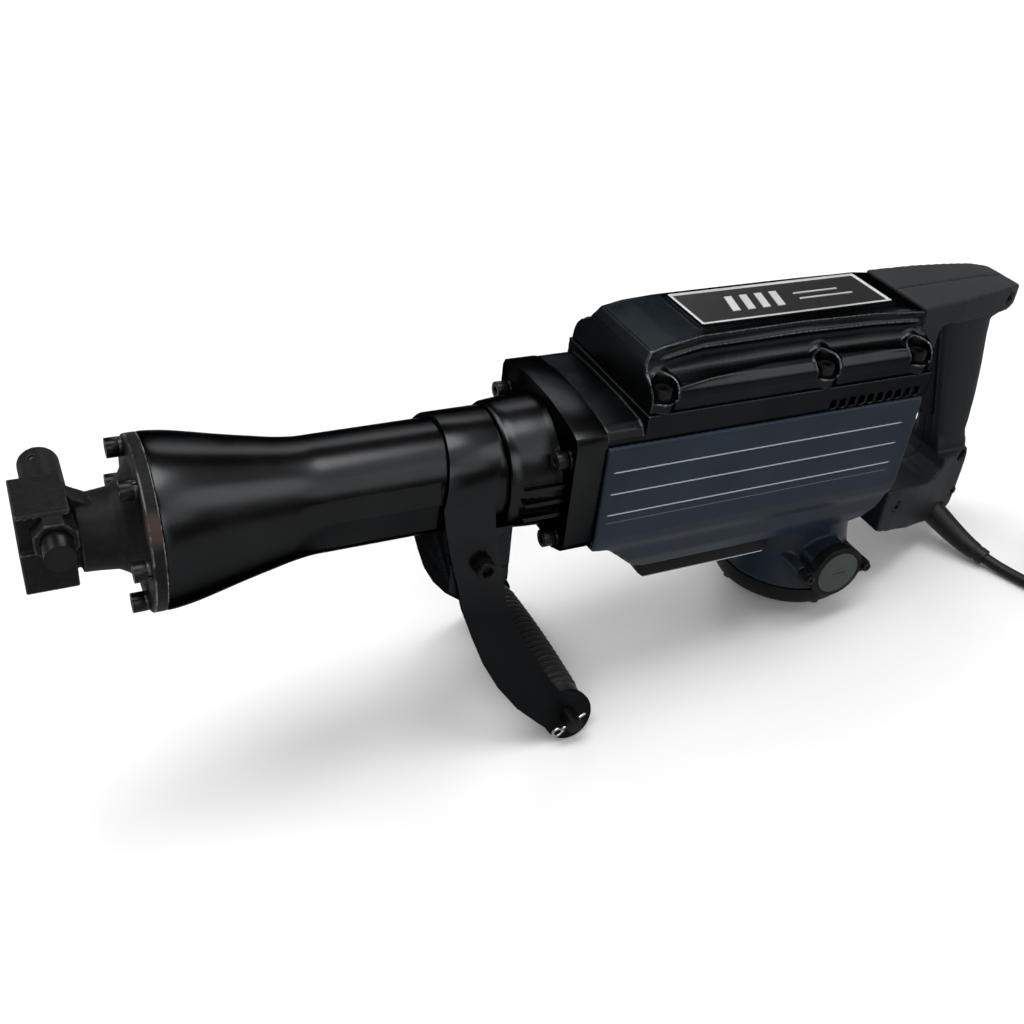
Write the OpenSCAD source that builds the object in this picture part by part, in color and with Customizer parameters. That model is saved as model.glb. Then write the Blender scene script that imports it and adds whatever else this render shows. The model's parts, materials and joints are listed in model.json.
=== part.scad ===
// Electric demolition hammer with a 30 mm hexagonal tool socket.
// Tool frame used by the modules: X along the hammer axis from the front face
// of the head, Y across, Z up to the crank cover, all zero on the hammer axis.
// place() then pitches the tool nose-up onto its side handle and tail cover and
// puts the origin on the floor under the middle of the tool.

/* [Stance] */
// Nose-up pitch of the hammer axis as it lies on the floor, degrees
pitch = 10; // [9:0.5:11]
/* [Head] */
// Across flats of the hexagonal tool socket
hex_af = 30.4; // [28:0.2:31]
// Radius of the round lead-in at the socket's mouth
lead_r = 18; // [17.8:0.1:18.5]
// Half width of the square head
head_w = 22.5; // [22:0.5:24]
// Radius of the front flange
flange_r = 57.5; // [56.5:0.5:60]
// Radius of the front bolt circle
front_pcd_r = 49.5; // [48.5:0.25:50]
/* [Barrel] */
// Radius of the straight barrel
barrel_r = 40; // [39.5:0.25:40.2]
// Inner radius of the cylinder liner
liner_r = 24; // [22:0.5:25]
/* [Body] */
// Half width of the motor housing
housing_w = 64; // [63:0.5:66]
// Half width of the rear cylinder flange
rear_flange_w = 61; // [60:0.5:62]
// Radius of the round tail cover
tail_r = 58; // [57.5:0.5:59]
/* [Drive] */
// Crank throw, half the piston stroke
throw = 22; // [18:1:22]
// Connecting rod length between centres
rod_len = 120; // [118:1:122]
// Teeth on the armature pinion
z_arm = 14; // [14:1:14]
// Teeth on the first gear
z_first = 61; // [61:1:61]
// Teeth on the second pinion
z_second = 28; // [28:1:28]
// Teeth on the crank gear
z_crank = 52; // [52:1:52]
/* [Side handle] */
// Width of the steel strap
strap_w = 37; // [34:1:38]
// Flare angle of each arm below the clamp, degrees
flare = 15.3; // [14:0.1:16]
// Distance of the grip rod below the flare line, along the arm
arm_len = 132.7; // [132:0.1:133]
// Radius of the ribbed grip
grip_r = 20; // [18:0.5:21]
/* [Cord] */
// Diameter of the mains cord
cord_d = 10; // [9.5:0.1:10]
// Mean radius of the stored coil
coil_r = 58; // [56:1:60]

/* [Hidden] */
$fn = 64;
off_x = -382.79; off_z = 269.54;
pin_x = 21; pin_z = 17.5; pin_r = 9.25;
motor_x = 605; inter_x = motor_x - 0.625*(z_arm+z_first); crank_x = inter_x - (z_second+z_crank);
big_x = crank_x - throw;       // big end at front dead centre
pp_x = big_x - rod_len;        // piston pin at front dead centre
brush_z = -115; rod_x = 363;
arm_t = 3.4; arm_y = barrel_r + 0.1; bend_z = -62;
rod_z = bend_z - arm_len*cos(flare) + 2.5*sin(flare);

module place() { translate([off_x,0,off_z]) rotate([0,pitch,0]) children(); }
module xcyl(r,x0,x1,y=0,z=0) { translate([x0,y,z]) rotate([0,90,0]) cylinder(r=r,h=x1-x0); }
module ycyl(r,y0,y1,x,z) { translate([x,y0,z]) rotate([-90,0,0]) cylinder(r=r,h=y1-y0); }
module zcyl(r,z0,z1,x,y=0) { translate([x,y,z0]) cylinder(r=r,h=z1-z0); }
module bx(x0,x1,y0,y1,z0,z1) { translate([x0,y0,z0]) cube([x1-x0,y1-y0,z1-z0]); }
// polygon of (y,z) points run along X
module xprof(x0,x1,p) { translate([x0,0,0]) rotate([90,0,90]) linear_extrude(x1-x0) polygon(p); }
// polygon of (x,z) points run along Y
module yprof(y0,y1,p) { translate([0,y1,0]) rotate([90,0,0]) linear_extrude(y1-y0) polygon(p); }
// polygon of (r,x) points turned about the hammer axis
module xrev(p) { rotate([0,90,0]) rotate_extrude() polygon(p); }
module both() { children(); mirror([0,1,0]) children(); }
// the same points mirrored in their first coordinate, as one closed outline
function mir(p) = concat(p, [for (i=[len(p)-1:-1:0]) [-p[i][0], p[i][1]]]);
// socket head screw along +Z of its own frame, head below zero
module shcs(d,hd,hh,len,af) {
  difference() { union() { translate([0,0,-hh]) cylinder(d=hd,h=hh); cylinder(d=d,h=len); }
    translate([0,0,-hh-0.1]) cylinder(d=af/cos(30),h=hh*0.55,$fn=6); }
}
// involute spur gear outline, module m, n teeth, backlash b on the tooth thickness, addendum ad modules
function gi(a) = tan(a)*180/PI - a;
function gear_pts(m,n,b,ad) = let(r=m*n/2, rb=r*cos(20), ra=r+ad*m, rf=r-1.2*m,
   h=90/n - b/(2*r)*180/PI + gi(20), rs=max(rb,rf)+0.01)
  [for (k=[0:n-1]) let(c=360*k/n) each concat([[rf,c-h]], 
     [for (i=[0:4]) let(q=rs+(ra-rs)*i/4) [q, c-h+gi(acos(rb/q))]],
     [for (i=[4:-1:0]) let(q=rs+(ra-rs)*i/4) [q, c+h-gi(acos(rb/q))]], [[rf,c+h]])];
module gear(m,n,t,bore,b=0.25,ad=0.95) { g=gear_pts(m,n,b,ad);
  difference() { linear_extrude(t) polygon([for (q=g) [q[0]*cos(q[1]), q[0]*sin(q[1])]]); translate([0,0,-1]) cylinder(r=bore,h=t+2); } }

// ---------- head and tool retainer ----------
module front_cover() color("#2b2c2e") place() difference() {
  union() {
    difference() {
      union() {
        xprof(0,31.3,mir([[head_w-3,-25.6],[head_w,-22.6],[head_w,31.2],[head_w-2,33.2]]));
        yprof(-7,7,[[28,0],[28,33.2],[31.3,33.2],[46,24],[46,0]]);
      }
      bx(-1,31.4,-head_w-1,-18.5,6,31);
    }
    xrev([[0,28],[21,28],[21,34.3],[24.6,34.9],[25.2,45],[26.4,56],[30,62],[36,66],[42.6,70],[flange_r-1,70],[flange_r,71],[flange_r,79],[0,79]]);
    translate([pin_x,-31,pin_z]) rotate([-90,0,0]) rotate([0,0,22.5]) cylinder(r=14,h=12.6,$fn=8);
  }
  xcyl(lead_r,-1,6);
  translate([5,0,0]) rotate([0,90,0]) rotate([0,0,30]) cylinder(r=hex_af/2/cos(30),h=58,$fn=6);
  xcyl(22,61,80);
  ycyl(pin_r+0.07,-40,40,pin_x,pin_z);
  ycyl(13.4,21.5,60,pin_x,pin_z);
  for (a=[0:60:300]) rotate([a,0,0]) xcyl(4.2,60,80,front_pcd_r,0);
}
module retainer_pin() color("#3a3b3d") place() difference() {
  ycyl(pin_r,-46.5,52,pin_x,pin_z);
  // half-moon cut that clears the socket when the pin is turned half a turn
  bx(pin_x-12,pin_x+12,-19,19,pin_z+2.2,pin_z+12);
}
module retainer_knob() color("#4a4b4c") place() difference() {
  ycyl(13,22.2,58,pin_x,pin_z);
  ycyl(11.6,24.4,52,pin_x,pin_z);
  ycyl(10.3,22,25,pin_x,pin_z);
  translate([pin_x-4,48,pin_z+8]) rotate([0,0,0]) cylinder(d=4.4,h=8);
}
module retainer_sleeve() color("#6d6e70") place() difference() {
  union() { ycyl(10.1,21.5,49,pin_x,pin_z); ycyl(11.4,47,50,pin_x,pin_z); }
  ycyl(pin_r+0.07,21,51,pin_x,pin_z);
}
module retainer_spring() color("#8a8c8e") place() 
  for (i=[0:5]) translate([pin_x,26.55+3.98*i,pin_z]) rotate([90,0,0]) rotate_extrude() translate([10.85,0]) circle(r=0.55,$fn=24);
module retainer_washer() color("#8a8c8e") place() difference() { ycyl(11.4,24.4,26,pin_x,pin_z); ycyl(10.2,24,27,pin_x,pin_z); }
module front_bolts() color("#1d1e20") place() for (a=[0:60:300]) rotate([a,0,0]) translate([67.6,front_pcd_r,0]) rotate([0,90,0]) shcs(8,13,8,30,6);
module front_spring_washers() color("#8b8d90") place() for (a=[0:60:300]) rotate([a,0,0]) difference() {
  xcyl(6.4,67.6,70,front_pcd_r,0); xcyl(4.1,67,80,front_pcd_r,0); translate([67,front_pcd_r+3,-0.6]) cube([4,5,1.2]); }
module hammer_holder() color("#7f8286") place() xrev([[14.6,86],[34,86],[34,96],[30,96],[30,122],[22.6,122],[22.6,97],[14.6,97]]);
module impact_bolt() color("#9a9da1") place() union() { xcyl(14.5,80,108); xcyl(20,110,128); xcyl(17.5,107.9,110.1); xcyl(11,128,142); }
module damper_ring() color("#202020") place() difference() { xcyl(34,79,86); xcyl(15.6,78,87); }

// ---------- barrel ----------
barrel_p = [[57.2,79],[57.4,83],[56.8,90],[55.4,99],[52.6,112],[49.6,125],[46.8,138],[44.4,150],[42.2,161],[40.7,171],[barrel_r,180],
  [barrel_r,310.5],[44,311],[45,312],[46,314],[47.6,332],[48.5,347.6],[48.5,348]];
flange_pts = mir([[rear_flange_w-12,-47],[rear_flange_w-4,-43.5],[rear_flange_w,-36],[rear_flange_w,44],[rear_flange_w-3,49.5],[rear_flange_w-10,52.5],[30,55.5],[14,57.2]]);
rear_bolt_pts = [[50,29],[45,-38.5]];
module cylinder_case() color("#131416") place() difference() {
  union() {
    xrev(concat([[29,79]], barrel_p, [[29,348]]));
    xprof(347.6,371,flange_pts);
    // cooling fins and corner bosses on both sides of the rear cone
    both() for (z=[6,-5.5,-17]) yprof(36,51,[[320,z],[348,z],[348,z+3.2],[318,z+3.2]]);
    both() for (b=rear_bolt_pts) xcyl(8.5,346,348,b[0],b[1]);
  }
  xcyl(30,85,372); xcyl(34,78,96);
  // long flats pressed into the lower sides of the barrel
  both() { rotate([165.5,0,0]) bx(170,262,barrel_r-0.8,60,-30,30); rotate([194.5,0,0]) bx(168,262,barrel_r-2,60,-30,30); }
  // the side windows between the fins
  for (a=[0:60:300]) rotate([a,0,0]) xcyl(4,78,98,front_pcd_r,0);
  both() for (b=rear_bolt_pts) xcyl(4.1,344,372,b[0],b[1]);
}
module cylinder_liner() color("#8d9095") place() difference() { xcyl(30,122.5,368); xcyl(liner_r,122,369); 
  for (a=[0:45:315]) rotate([a,0,0]) translate([255,0,20]) cylinder(r=2,h=12); }
module striker() color("#a2a5a9") place() difference() { union() { xcyl(liner_r-0.05,176,230); xcyl(11,168,176.1); }
  difference() { xcyl(liner_r+1,208,214); xcyl(21,207,215); } }
module striker_o_ring() color("#1a1a1a") place() difference() { xcyl(liner_r-0.02,208.3,213.7); xcyl(21.05,208,214); }
module piston() color("#9da0a4") place() difference() {
  xcyl(liner_r-0.05,pp_x-44,pp_x+18);
  translate([pp_x,0,0]) bx(-14,20,-16.5,16.5,-16,16);
  zcyl(7.05,-26,26,pp_x);
  difference() { xcyl(liner_r+1,pp_x-38,pp_x-32); xcyl(21,pp_x-39,pp_x-31); }
}
module piston_o_ring() color("#1a1a1a") place() difference() { xcyl(liner_r-0.02,pp_x-37.7,pp_x-32.3); xcyl(21.05,pp_x-38,pp_x-32); }
module piston_pin() color("#b5b8bc") place() zcyl(7,-20,20,pp_x);
module connecting_rod() color("#8b8e92") place() difference() {
  union() { zcyl(13,-9,9,pp_x); zcyl(19,-10,10,big_x); bx(pp_x+8,big_x-14,-6,6,-7,7); }
  zcyl(7.06,-11,11,pp_x); zcyl(9,-11,11,big_x);
}
module crank_pin() color("#b5b8bc") place() zcyl(9,-13,13.4,big_x);
// ---------- crank drive ----------
module crankshaft() color("#96999d") place() union() { zcyl(34,14,22,crank_x,0); zcyl(8.5,21.9,76,crank_x,0); zcyl(12,22,24,crank_x,0); }
module crank_gear() color("#7d8084") place() translate([crank_x,0,40]) rotate([0,0,0]) gear(2,z_crank,14,8.5);
module intermediate_shaft() color("#96999d") place() union() { zcyl(7.5,22,88,inter_x);
  translate([inter_x,0,40]) rotate([0,0,180]) rotate([0,0,180/z_second]) gear(2,z_second,14,0); }
module intermediate_gear() color("#7d8084") place() translate([inter_x,0,62]) gear(1.25,z_first,10,7.5,0.2,0.8);
module armature_shaft() color("#a2a5a9") place() union() { zcyl(6,-150,62,motor_x); zcyl(7.5,-130,20,motor_x);
  translate([motor_x,0,61]) rotate([0,0,180]) rotate([0,0,180/z_arm]) gear(1.25,z_arm,13,0,0.2,0.8); }
module armature_core() color("#6a3a24") place() difference() { zcyl(22,-94,-34,motor_x); zcyl(7.5,-95,-33,motor_x); }
module commutator() color("#b5713a") place() difference() { zcyl(16,-127,-104,motor_x); zcyl(7.5,-128,-103,motor_x); 
  for (a=[0:15:345]) translate([motor_x,0,-125]) rotate([0,0,a]) translate([15,-0.4,0]) cube([3,0.8,22]); }
module cooling_fan() color("#2d2f33") place() difference() { union() { zcyl(12,-26,-14,motor_x); zcyl(31,-16,-14,motor_x);
    for (a=[0:30:330]) translate([motor_x,0,-26]) rotate([0,0,a]) translate([11,-1,0]) cube([19,2,11]); }
  zcyl(7.5,-27,-13,motor_x); }
module stator() color("#4b4d50") place() difference() { zcyl(41.9,-96,-32,motor_x); zcyl(22.6,-97,-31,motor_x); bx(637.8,660,-60,60,-60.3,-31); }
module bearing(ro,ri,h) rotate_extrude() polygon([[ri+0.03,0],[ro,0],[ro,h],[ri+0.03,h]]);
module ball_bearings() color("#b9bcc0") place() {
  translate([crank_x,0,25]) bearing(20,8.5,12);
  translate([crank_x,0,60.5]) bearing(15,8.5,11);
  translate([inter_x,0,26]) bearing(16,7.5,10);
  translate([inter_x,0,76]) bearing(16,7.5,9);
  translate([motor_x,0,22]) bearing(17.5,6,12);
  translate([motor_x,0,-148]) bearing(16,6,11);
}
module brush_holders() color("#c9a24a") place() both() difference() { ycyl(10,22,60,motor_x,brush_z); bx(motor_x-4,motor_x+4,20,62,brush_z-6,brush_z+6); }
module carbon_brushes() color("#3b3b3d") place() both() bx(motor_x-4,motor_x+4,16.4,40,brush_z-6,brush_z+6);
module brush_caps() color("#6f756e") place() both() difference() { union() { ycyl(19,63,70,motor_x,brush_z); ycyl(14,60,63.1,motor_x,brush_z); }
  bx(motor_x-6,motor_x+6,69,71,brush_z-0.8,brush_z+0.8); }
module brush_clamps() color("#1b1c1f") place() both() difference() { union() { ycyl(24,60,69,motor_x,brush_z);
    for (s=[-1,1]) { ycyl(5.2,60,69,motor_x+s*28.5,brush_z); bx(motor_x+min(s*20,s*28.5),motor_x+max(s*20,s*28.5),60,69,brush_z-5.2,brush_z+5.2); } }
  ycyl(19.1,59,71,motor_x,brush_z);
  for (s=[-1,1]) ycyl(2.2,52,71,motor_x+s*28.5,brush_z); }
module brush_clamp_screws() color("#55585c") place() both() for (s=[-1,1]) difference() {
  union() { ycyl(2.2,53,69.1,motor_x+s*28.5,brush_z); ycyl(3.8,69,71.5,motor_x+s*28.5,brush_z); }
  translate([motor_x+s*28.5,70,brush_z]) rotate([-90,0,0]) cylinder(r=1.6,h=3,$fn=6); }

// ---------- body ----------
cover_prof = mir([[58.5,60],[58.5,68],[56.5,74],[52,79],[42.5,83],[38.5,90],[36,98],[33,101.5],[27,103.4]]);
cover_bolt_x = [413,549,634];
module crankcase() color("#15161a") place() difference() {
  union() {
    difference() {
      union() {
        xprof(371,402,mir([[59.8,-46],[59.8,44],[56,50],[50,52.2],[20,54]]));
        bx(400,530,-59.8,59.8,-46,42);
        bx(400,647,-60.5,60.5,41.2,60);
        bx(529,637.8,-59.8,59.8,22,42);
      }
      bx(376,526,-55,55,-42,14); bx(376,430,-55,55,-42,44);
      bx(404,640,-56,56,38,61);
    }
    both() for (b=rear_bolt_pts) xcyl(7.4,374,392,b[0],b[1]);
    both() for (x=cover_bolt_x) zcyl(8,41.2,60,x,52);
  }
  xcyl(31,370,377);
  zcyl(35,13,24,crank_x); zcyl(20,24,39,crank_x);
  zcyl(16,21,40,inter_x); zcyl(17.5,21,39,motor_x);
  for (i=[0:9]) both() bx(556+i*8.6,561.2+i*8.6,55.5,62,41.8,48.6);
  both() for (x=cover_bolt_x) zcyl(4.05,44,61,x,52);
  both() for (b=rear_bolt_pts) xcyl(4.05,370,390,b[0],b[1]);
}
module crank_cover() color("#17181a") place() difference() {
  union() {
    intersection() { xprof(400,647,cover_prof);
      yprof(-70,70,[[401,60],[404,88],[409,96],[430,99.6],[453,102.4],[540,103.4],[624,102.4],[647,98.5],[647,60]]); }
    both() for (x=cover_bolt_x) zcyl(9.5,60,68,x,52);
    bx(453,624,-26,26,99,103.4);
  }
  difference() { intersection() { xprof(406,640,mir([[54.4,59],[54.4,70],[50,76],[40,79],[34,88],[32,97.4]]));
      yprof(-70,70,[[405,58],[406,66],[409,84],[414,90],[432,94.5],[453,97.2],[600,98],[624,97],[641,94],[641,58]]); }
    both() for (x=cover_bolt_x) zcyl(10.5,58,90,x,52);
    zcyl(19,58.5,100,crank_x); zcyl(20,74.5,100,inter_x); }
  zcyl(15,59,72,crank_x); zcyl(9.5,59,78,crank_x); zcyl(16,74,85,inter_x); zcyl(9,74,90,inter_x);
  both() for (x=cover_bolt_x) { zcyl(9.3,68,100,x,53); zcyl(4.2,59,70,x,52); bx(x-9.3,x+9.3,53,70,68,100); }
}
module cover_bolts() color("#1d1e20") place() both() for (x=cover_bolt_x) translate([x,52,68]) rotate([180,0,0]) shcs(8,13,8,22,6);
module flange_bolts() color("#1d1e20") place() both() for (b=rear_bolt_pts) translate([346,b[0],b[1]]) rotate([0,90,0]) shcs(8,13,8,40,6);
housing_side = [[371,41],[371,-47],[386,-50],[400,-62],[414,-75],[432,-81],[612,-81],[630,-74],[640,-58],[642,-44],[642,41]];
module motor_housing() color("#232a35") place() difference() {
  union() {
    difference() {
      union() {
        intersection() { yprof(-70,70,housing_side);
          xprof(370,643,mir([[44,-82],[52,-78],[57,-66],[59,-52],[housing_w-1.5,-44],[housing_w,-36],[housing_w,38.5],[housing_w-1.5,41]])); }
        translate([motor_x,0,0]) rotate_extrude() polygon([[0,-140],[57.4,-140],[56.8,-136],[53,-126],[49.6,-115],[47.3,-104],[46,-92],[46,-57],[0,-57]]);
      }
      bx(370,530.1,-59.9,59.9,-46,42); bx(530,638,-59.9,59.9,-46,42);
      bx(430,638,-48,48,-77,-45); zcyl(42,-141,-60,motor_x);
    }
    both() translate([motor_x,44,brush_z]) rotate([-90,0,0]) cylinder(r=21.4,h=16,$fn=12);
    both() for (s=[-1,1]) ycyl(5.2,38,60,motor_x+s*28.5,brush_z);
  }
  for (z=[21.1,3.1,-14.7]) both() bx(376,630,housing_w-1.3,housing_w+1,z-0.8,z+0.8);
  both() bx(376,626,housing_w-0.5,housing_w+1,-22,-21);
  both() ycyl(10,38,70,motor_x,brush_z);
  both() for (s=[-1,1]) ycyl(2.2,52,61,motor_x+s*28.5,brush_z);
  for (a=[0:90:270]) translate([motor_x,0,-141]) rotate([0,0,a]) translate([51.5,0,0]) cylinder(r=2.5,h=12);
}
module bottom_plate() color("#1b1c1f") place() difference() { yprof(-45,45,[[424,-81],[545,-81],[545,-93],[542,-96.5],[432,-96.5],[426,-91]]);
  bx(430,540,-41,41,-93,-80); }
module tail_cover() color("#1a1b1d") place() difference() {
  union() { difference() {
      translate([motor_x,0,0]) rotate_extrude() polygon([[0,-155],[tail_r-3,-155],[tail_r-0.8,-153.5],[tail_r,-150],[tail_r,-140],[0,-140]]);
      zcyl(48,-150,-139,motor_x); }
    zcyl(19,-151,-138,motor_x); }
  zcyl(16,-148,-137,motor_x); zcyl(9,-152,-140,motor_x);
  for (a=[0:90:270]) translate([motor_x,0,-156]) rotate([0,0,a]) translate([51.5,0,0]) cylinder(r=2.6,h=20);
}
module tail_screws() color("#4a4c4f") place() for (a=[0:90:270]) translate([motor_x,0,-155]) rotate([0,0,a]) translate([51.5,0,0])
  difference() { union() { translate([0,0,-2]) cylinder(r=4.6,h=2); cylinder(r=2.5,h=18); } translate([0,0,-2.1]) cylinder(r=1.8,h=1.6,$fn=6); }
module nameplate() color("#c5c8ca") place() difference() { bx(455,622,-24.6,24.6,103.4,105);
  bx(459,618,-20.6,20.6,104.4,106); }

// ---------- rear handle ----------
hx = 647.2;
handle_out = [[hx,100.5],[680,101.4],[715,102.3],[740,102.5],[755,101.4],[762,98.5],[765.5,93],[764.5,88.5],[759,85],[750.5,81.5],[747.5,75],
  [750,56],[755.5,30],[760.5,0],[763,-25],[763,-50],[766,-60],[771,-68],[774,-80],[774,-98],[770,-108],[762,-115],[748,-118.5],[730,-117],[700,-108],[670,-98],[hx,-92]];
handle_in = [[hx,-53],[668,-55],[690,-61],[706,-66],[718,-66],[726,-61],[730,-52],[727,-38],[718,-8],[709,22],[700,52],[693,74],[688,81.5],[680,83.5],[673,83],[668.5,79],[668.5,54],[664,48],[hx,45]];
top_plan = [[hx,0],[hx,36.6],[690,33.5],[725,28],[745,24],[757,18.5],[764,12],[766,6],[766,0]];
low_plan = [[hx,0],[hx,57],[662,55],[690,46.5],[720,34.5],[745,25.5],[765,20],[774.5,13],[774.5,0]];
// point s along the grip's inner face from its top, o out of it towards the housing
function tp(s,o) = [696.5+0.2873*s-0.9578*o, 60-0.9578*s-0.2873*o];
module plan(p,z0,z1) { translate([0,0,z0]) linear_extrude(z1-z0) polygon(p); }
module handle_half() difference() {
  intersection() {
    yprof(0,60,concat(handle_out,handle_in));
    union() { plan(top_plan,82,110); plan([[hx,0],[hx,36.6],[672,35],[672,0]],44,83); plan([[672,0],[672,17],[694,19],[758,19],[765,16],[765,0]],-60,83); plan(low_plan,-122,-52); }
  }
  // hollow for the switch and the wiring
  yprof(-1,14.5,[[704,76],[742,76],[743,66],[749,34],[754.5,0],[757,-25],[757,-60],[766,-76],[768,-98],[758,-108],[734,-110],[700,-101],[668,-92],[668,-72],[715,-76],[732,-66],[737,-50],[733,-36],[724,-6],[715,24],[706,54]]);
  yprof(-1,8.3,[tp(-3,7),tp(84,7),tp(84,-9),tp(-3,-9)]);
  for (b=handle_bolts) { ycyl(2.6,-1,60,b[0],b[1]); }
  // clearance round the motor's tail
  translate([motor_x,0,0]) rotate_extrude() polygon([[0,-141],[59.4,-141],[58.8,-136],[54.4,-126],[50.4,-115],[47.9,-104],[46.4,-92],[46.4,-50],[0,-50]]);
}
trig_piv = tp(3,-3);
module handle_shell() union() { handle_half(); ycyl(1.95,0,9,trig_piv[0],trig_piv[1]); }
handle_bolts = [[746,92],[757,-58],[664,-72],[764,-98]];
// world points of the cord guard's middle line, and its radius at each
guard_p = [[711,-4,35],[716,-26,25],[720,-44,17.5],[724,-61,12],[729,-77,8.2]];
guard_r = [11,11,9.8,8.4,7];
function unit(v) = v/norm(v);
module guard_cut() translate([off_x,0,0]) tube(guard_p,guard_r,12,guard_p[1]-guard_p[0],guard_p[4]-guard_p[3]);
module handle_left() color("#2c2d2f") difference() { place() mirror([0,1,0]) handle_shell(); guard_cut(); place() for (b=handle_bolts) ycyl(5.2,-80,-yw(b)+4,b[0],b[1]); }
module handle_right() color("#2c2d2f") difference() { place() handle_shell(); guard_cut(); }
// half width of the shell at a screw
function yw(b) = b[1]>80 ? 23 : (b[0]<700 ? 54.5 : (b[1]>-60 ? 19 : 20));
module handle_screws() color("#3c3e41") place() for (b=handle_bolts) difference() {
  union() { ycyl(2.4,-yw(b)+4,yw(b)-6,b[0],b[1]); ycyl(4.6,-yw(b)+0.8,-yw(b)+4,b[0],b[1]); }
  translate([b[0],-yw(b)+0.5,b[1]]) rotate([-90,0,0]) cylinder(r=1.9,h=2.4,$fn=6); }
module trigger() color("#161719") place() difference() { yprof(-8,8,[tp(0,-8),tp(0,5),tp(4,9),tp(14,11.5),tp(40,12.5),tp(66,12),tp(76,10),tp(81,6),tp(81,-8)]); ycyl(2,-9,9,trig_piv[0],trig_piv[1]); }
module switch_body() color("#1c1d20") place() bx(723.5,743,-14.5,14.5,18,62);

// ---------- cord ----------
module cord_guard() color("#1d1e20") guard_cut();
coil_c = [822,-160];            // middle of the stored coil
cord_r = cord_d/2;
// hand-chosen points from the guard's tip to the coil, then from the coil to the plug
run_a = [[729,-77,8.2],[732.5,-88,6.4],[736,-99,5.4],[740,-112,5.1],[745,-127,5.1],[749.5,-142,5.4],[753,-156,6],[754,-168,6.1]];
run_b = [[890,-152,15],[890.5,-140,15.3],[891,-128,15.7],[891.5,-116,16.2],[892,-104,16.8],[892,-94,17.2],[892,-86,17.5]];
function tng(p,i) = unit(p[min(i+1,len(p)-1)]-p[max(i-1,0)]);
module tube(p,r,n,t0,t1) {
  pts = [for (i=[0:len(p)-1]) let(t = i==0 ? unit(t0) : i==len(p)-1 ? unit(t1) : tng(p,i), s=unit(cross(t,[0,0,1])), u=cross(s,t))
     for (k=[0:n-1]) p[i]+r[i]*(cos(360*k/n)*s+sin(360*k/n)*u)];
  m = len(p);
  polyhedron(pts, concat([[for (k=[0:n-1]) n-1-k]], [[for (k=[0:n-1]) (m-1)*n+k]],
    [for (i=[0:m-2], k=[0:n-1]) let(a=i*n+k,b=i*n+(k+1)%n) each [[a,b,b+n],[a,b+n,a+n]]]), convexity=6);
}
module power_cord() color("#161719") translate([off_x,0,0]) {
  tube(run_a,[for (p=run_a) cord_r],10,guard_p[4]-guard_p[3],[0,-1,0]);
  tube(run_b,[for (p=run_b) cord_r],10,[0,1,0],[0,1,0]);
}
module coil_solid() translate([off_x+coil_c[0],coil_c[1],0]) rotate_extrude($fn=96)
  polygon([[coil_r-13,0],[coil_r+13,0],[coil_r+15,2.5],[coil_r+15,17.5],[coil_r+13,20],[coil_r-13,20],[coil_r-15,17.5],[coil_r-15,2.5]]);
module cord_coil() color("#161719") coil_solid();
module cord_tie() color("#2a2b2d") difference() {
  translate([off_x+coil_c[0],coil_c[1],0]) bx(-6,6,-coil_r-16.6,-coil_r+16.6,0,21.6);
  coil_solid();
}
module mains_plug() color("#1b1c1e") translate([off_x+892,-86,17.5]) rotate([-90,0,0]) union() {
  rotate_extrude() polygon([[0,0],[7,0],[8,14],[12.5,20],[14.5,28],[14.5,44],[17.4,46],[17.4,53],[0,53]]);
  for (s=[-1,1]) translate([s*9.5,0,52]) cylinder(r=2.4,h=20);
}

// ---------- side handle ----------
sx0 = 262.5; sx1 = sx0 + strap_w;
arm_pts = [[sx0+12.5,1],[sx0+16.5,-25],[sx0+24.5,-51],[295,-74],[306,-96],[320,-116],[338,-134],[348,-143]];
arm_back = [[378,-146],[383,-133],[378,-131],[368,-124],[355,-109],[343,-90],[331,-68],[321,-48],[sx1+13.5,-25],[sx1+11.5,1]];
module arm_lower() translate([0,arm_y,bend_z]) rotate([flare,0,0]) translate([0,arm_t,0]) rotate([90,0,0]) linear_extrude(arm_t)
  union() { polygon(concat(arm_pts,arm_back)); translate([rod_x,-arm_len]) circle(r=20); }
clamp_x = 295; clamp_z = -53.5;
module side_strap() color("#0f1012") place() difference() {
  union() {
    intersection() { difference() { xcyl(arm_y+arm_t,sx0,sx1+12); xcyl(arm_y,sx0-1,sx1+13); }
      yprof(-60,60,[[sx0,-2],[sx0,0],[sx0+10,46],[sx1+10,46],[sx1,0],[sx1,-2]]); }
    both() yprof(arm_y,arm_y+arm_t,[[sx0,2],[sx1,2],[sx1+2.5,-20],[sx1+6.5,-42],[sx1+11.5,-62.1],[sx0+12.5,-62.1],[sx0+7,-40],[sx0+2,-15],[sx0,-2]]);
    both() arm_lower();
  }
  ycyl(6.6,-95,95,rod_x,rod_z);
  ycyl(5.1,-60,60,clamp_x,clamp_z);
}
module clamp_block() color("#17181a") place() difference() {
  yprof(-arm_y,arm_y,[[272,-26],[317,-26],[317.6,-74],[313,-80],[277,-80],[272,-75]]);
  xcyl(arm_y,260,330); xcyl(47.2,301,330); ycyl(5.1,-60,60,clamp_x,clamp_z);
  both() bx(265,325,arm_y-0.4,arm_y+1,-65,-60);
}
module clamp_bolt() color("#2e3033") place() {
  translate([clamp_x,-arm_y-arm_t,clamp_z]) rotate([-90,0,0]) shcs(10,15,9,100,8);
  translate([clamp_x,arm_y+arm_t,clamp_z]) rotate([-90,0,0]) difference() { cylinder(r=7.4/cos(30),h=8,$fn=6); cylinder(r=5.02,h=20,center=true); }
}
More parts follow.
